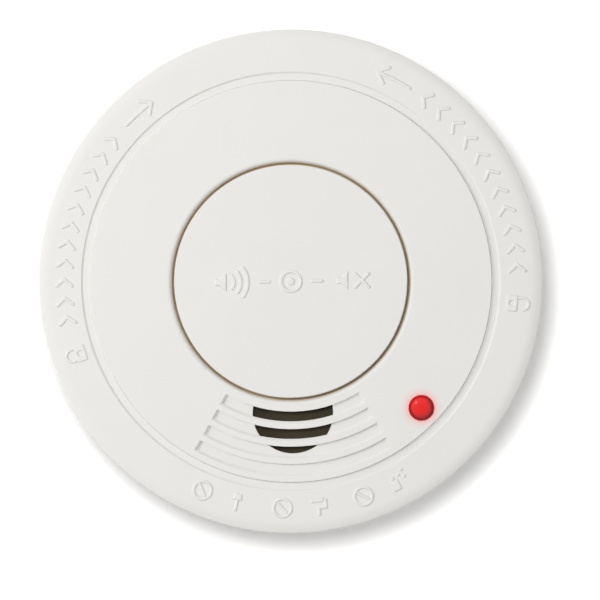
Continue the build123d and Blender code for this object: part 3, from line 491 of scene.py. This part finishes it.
def paint_board():
    paint("circuit_board", solder_mask())
    chip_black = epoxy("chip_black", (0.02, 0.02, 0.021))
    for node in ("detector_ic", "switch_body", "switch_actuator"):
        paint(node, chip_black)
    paint("capacitors", capacitor_sleeve())
    paint("coil_core", epoxy("ferrite", (0.045, 0.043, 0.045), (0.5, 0.65)))
    paint("coil_winding", wound_copper())
    paint("transistor", small_transistor())
    paint("chip_resistors", chip_body())
    paint("diode", glass_diode())
    tin = metal("tinned", TIN, (0.3, 0.45))
    for node in ("ic_pins", "switch_pins", "lamp_leads", "optic_leads"):
        paint(node, tin)
    paint("switch_frame", metal("stamped_steel", (0.58, 0.58, 0.57), stretch=(1.0, 10.0, 1.0)))
    paint("horn_contacts", metal("sprung_contact", (0.72, 0.58, 0.30), (0.25, 0.35)))


def paint_metal_and_battery():
    zinc = metal("zinc_plated", (0.62, 0.61, 0.57), (0.25, 0.42))
    for node in ("cover_screws", "board_screws"):
        paint(node, zinc)
    paint("button_spring", metal("spring_steel", (0.52, 0.52, 0.53), (0.2, 0.3), (1.0, 1.0, 8.0)))
    brushed = {"rough": (0.28, 0.36), "stretch": (10.0, 1.0, 1.0), "vary": 0.06}
    paint("battery_case", metal("battery_jacket", (0.16, 0.17, 0.19), **brushed))
    paint("battery_cells", plastic("cell_wrap", (0.03, 0.05, 0.09), rough=(0.35, 0.45), vary=0.15))
    paint("battery_end_plate", plastic("end_plate", (0.025, 0.025, 0.027), rough=(0.5, 0.6), vary=0.2))
    nickel = metal("nickel", (0.64, 0.61, 0.55), (0.18, 0.32))
    for node in ("battery_terminals", "snap_terminals"):
        paint(node, nickel)
    paint("snap_connector", vinyl("black_vinyl", (0.02, 0.02, 0.021)))
    paint("lead_red", vinyl("red_vinyl", (0.45, 0.012, 0.012)))
    paint("lead_black", vinyl("lead_black_vinyl", (0.014, 0.014, 0.015)))


# ---- the return spring ---------------------------------------------------------------------------
def make_return_spring():
    """The coil under the button, standing for the CAD's: a copy of its mesh, carried by the head's
    body.
    """
    spring = bpy.data.objects.new("return_spring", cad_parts["button_spring"].data.copy())
    bpy.context.scene.collection.objects.link(spring)
    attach(spring, "head")
    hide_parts("button_spring")
    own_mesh(spring)


# ---- floor, lights and camera --------------------------------------------------------------------
def make_floor():
    around = ((-1, -1), (1, -1), (1, 1), (-1, 1))
    corners = [(x * FLOOR_HALF, y * FLOOR_HALF, FLOOR_Z) for x, y in around]
    mesh = bpy.data.meshes.new("floor")
    mesh.from_pydata(corners, [], [(0, 1, 2, 3)])
    floor = bpy.data.objects.new("floor", mesh)
    bpy.context.scene.collection.objects.link(floor)
    surface = Surface("floor_acrylic")
    surface.colour(surface.mottled(FLOOR_WHITE, 0.01, 12.0))
    surface.gloss(0.85, 0.95, 12.0)
    surface.glow((1.0, 1.0, 1.0), FLOOR_GLOW)
    mesh.materials.append(surface.material)
    return floor


def add_area_light(name, settings):
    """A round soft light, tilted from straight above towards its azimuth."""
    light = bpy.data.lights.new(name, "AREA")
    light.shape = "DISK"
    light.size = settings["size"]
    light.energy = settings["power"]
    light.color = DAYLIGHT
    lamp = bpy.data.objects.new(name, light)
    bpy.context.scene.collection.objects.link(lamp)
    turn = Euler((0, math.radians(settings["tilt"]), math.radians(settings["azimuth"])))
    lamp.location = Vector((0, 0, RIM_Z)) + turn.to_matrix() @ Vector((0, 0, settings["distance"]))
    lamp.rotation_euler = turn
    return lamp


def light_only(lamp, things, state):
    """Links the lamp to these things (INCLUDE), or to everything but them (EXCLUDE)."""
    linked = bpy.data.collections.new(lamp.name + "_linked")
    for thing in things:
        linked.objects.link(thing)
    for row in linked.collection_objects:
        row.light_linking.link_state = state
    lamp.light_linking.receiver_collection = linked


def make_sky():
    """A pale dome, brighter towards the horizon."""
    world = bpy.data.worlds.new("studio")
    world.use_nodes = True
    nodes = world.node_tree.nodes
    links = world.node_tree.links
    background = nodes["Background"]
    background.inputs["Color"].default_value = (*DAYLIGHT, 1.0)
    height = nodes.new("ShaderNodeSeparateXYZ")
    links.new(nodes.new("ShaderNodeTexCoord").outputs["Generated"], height.inputs["Vector"])
    fall = nodes.new("ShaderNodeMapRange")
    fall.inputs["To Min"].default_value = SKY_EDGE
    fall.inputs["To Max"].default_value = SKY_TOP
    links.new(height.outputs["Z"], fall.inputs["Value"])
    links.new(fall.outputs["Result"], background.inputs["Strength"])
    bpy.context.scene.world = world


def light_the_scene(floor):
    """The dome, two lights for the alarm's face and relief, and one each for the floor and lens."""
    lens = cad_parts["lamp_lens"]
    make_sky()
    light_only(add_area_light("top_light", TOP_LIGHT), [floor, lens], "EXCLUDE")
    light_only(add_area_light("side_light", SIDE_LIGHT), [floor, lens], "EXCLUDE")
    light_only(add_area_light("floor_light", FLOOR_LIGHT), [floor], "INCLUDE")
    light_only(add_area_light("window", WINDOW), [lens], "INCLUDE")


def add_camera():
    data = bpy.data.cameras.new("camera")
    data.sensor_width = 36.0
    data.lens = data.sensor_width * (CAMERA_HEIGHT - RIM_Z) / VIEW_WIDTH
    data.clip_end = 20.0
    camera = bpy.data.objects.new("camera", data)
    bpy.context.scene.collection.objects.link(camera)
    camera.location = (*CAMERA_OFFSET, CAMERA_HEIGHT)
    camera.rotation_euler = (0, 0, math.radians(CAMERA_ROLL))
    bpy.context.scene.camera = camera


# ---- build ---------------------------------------------------------------------------------------
add_camera()
light_the_scene(make_floor())
paint_shell()
paint_sounder_and_chamber()
paint_board()
paint_metal_and_battery()
make_return_spring()
bpy.context.scene.view_settings.view_transform = "Standard"
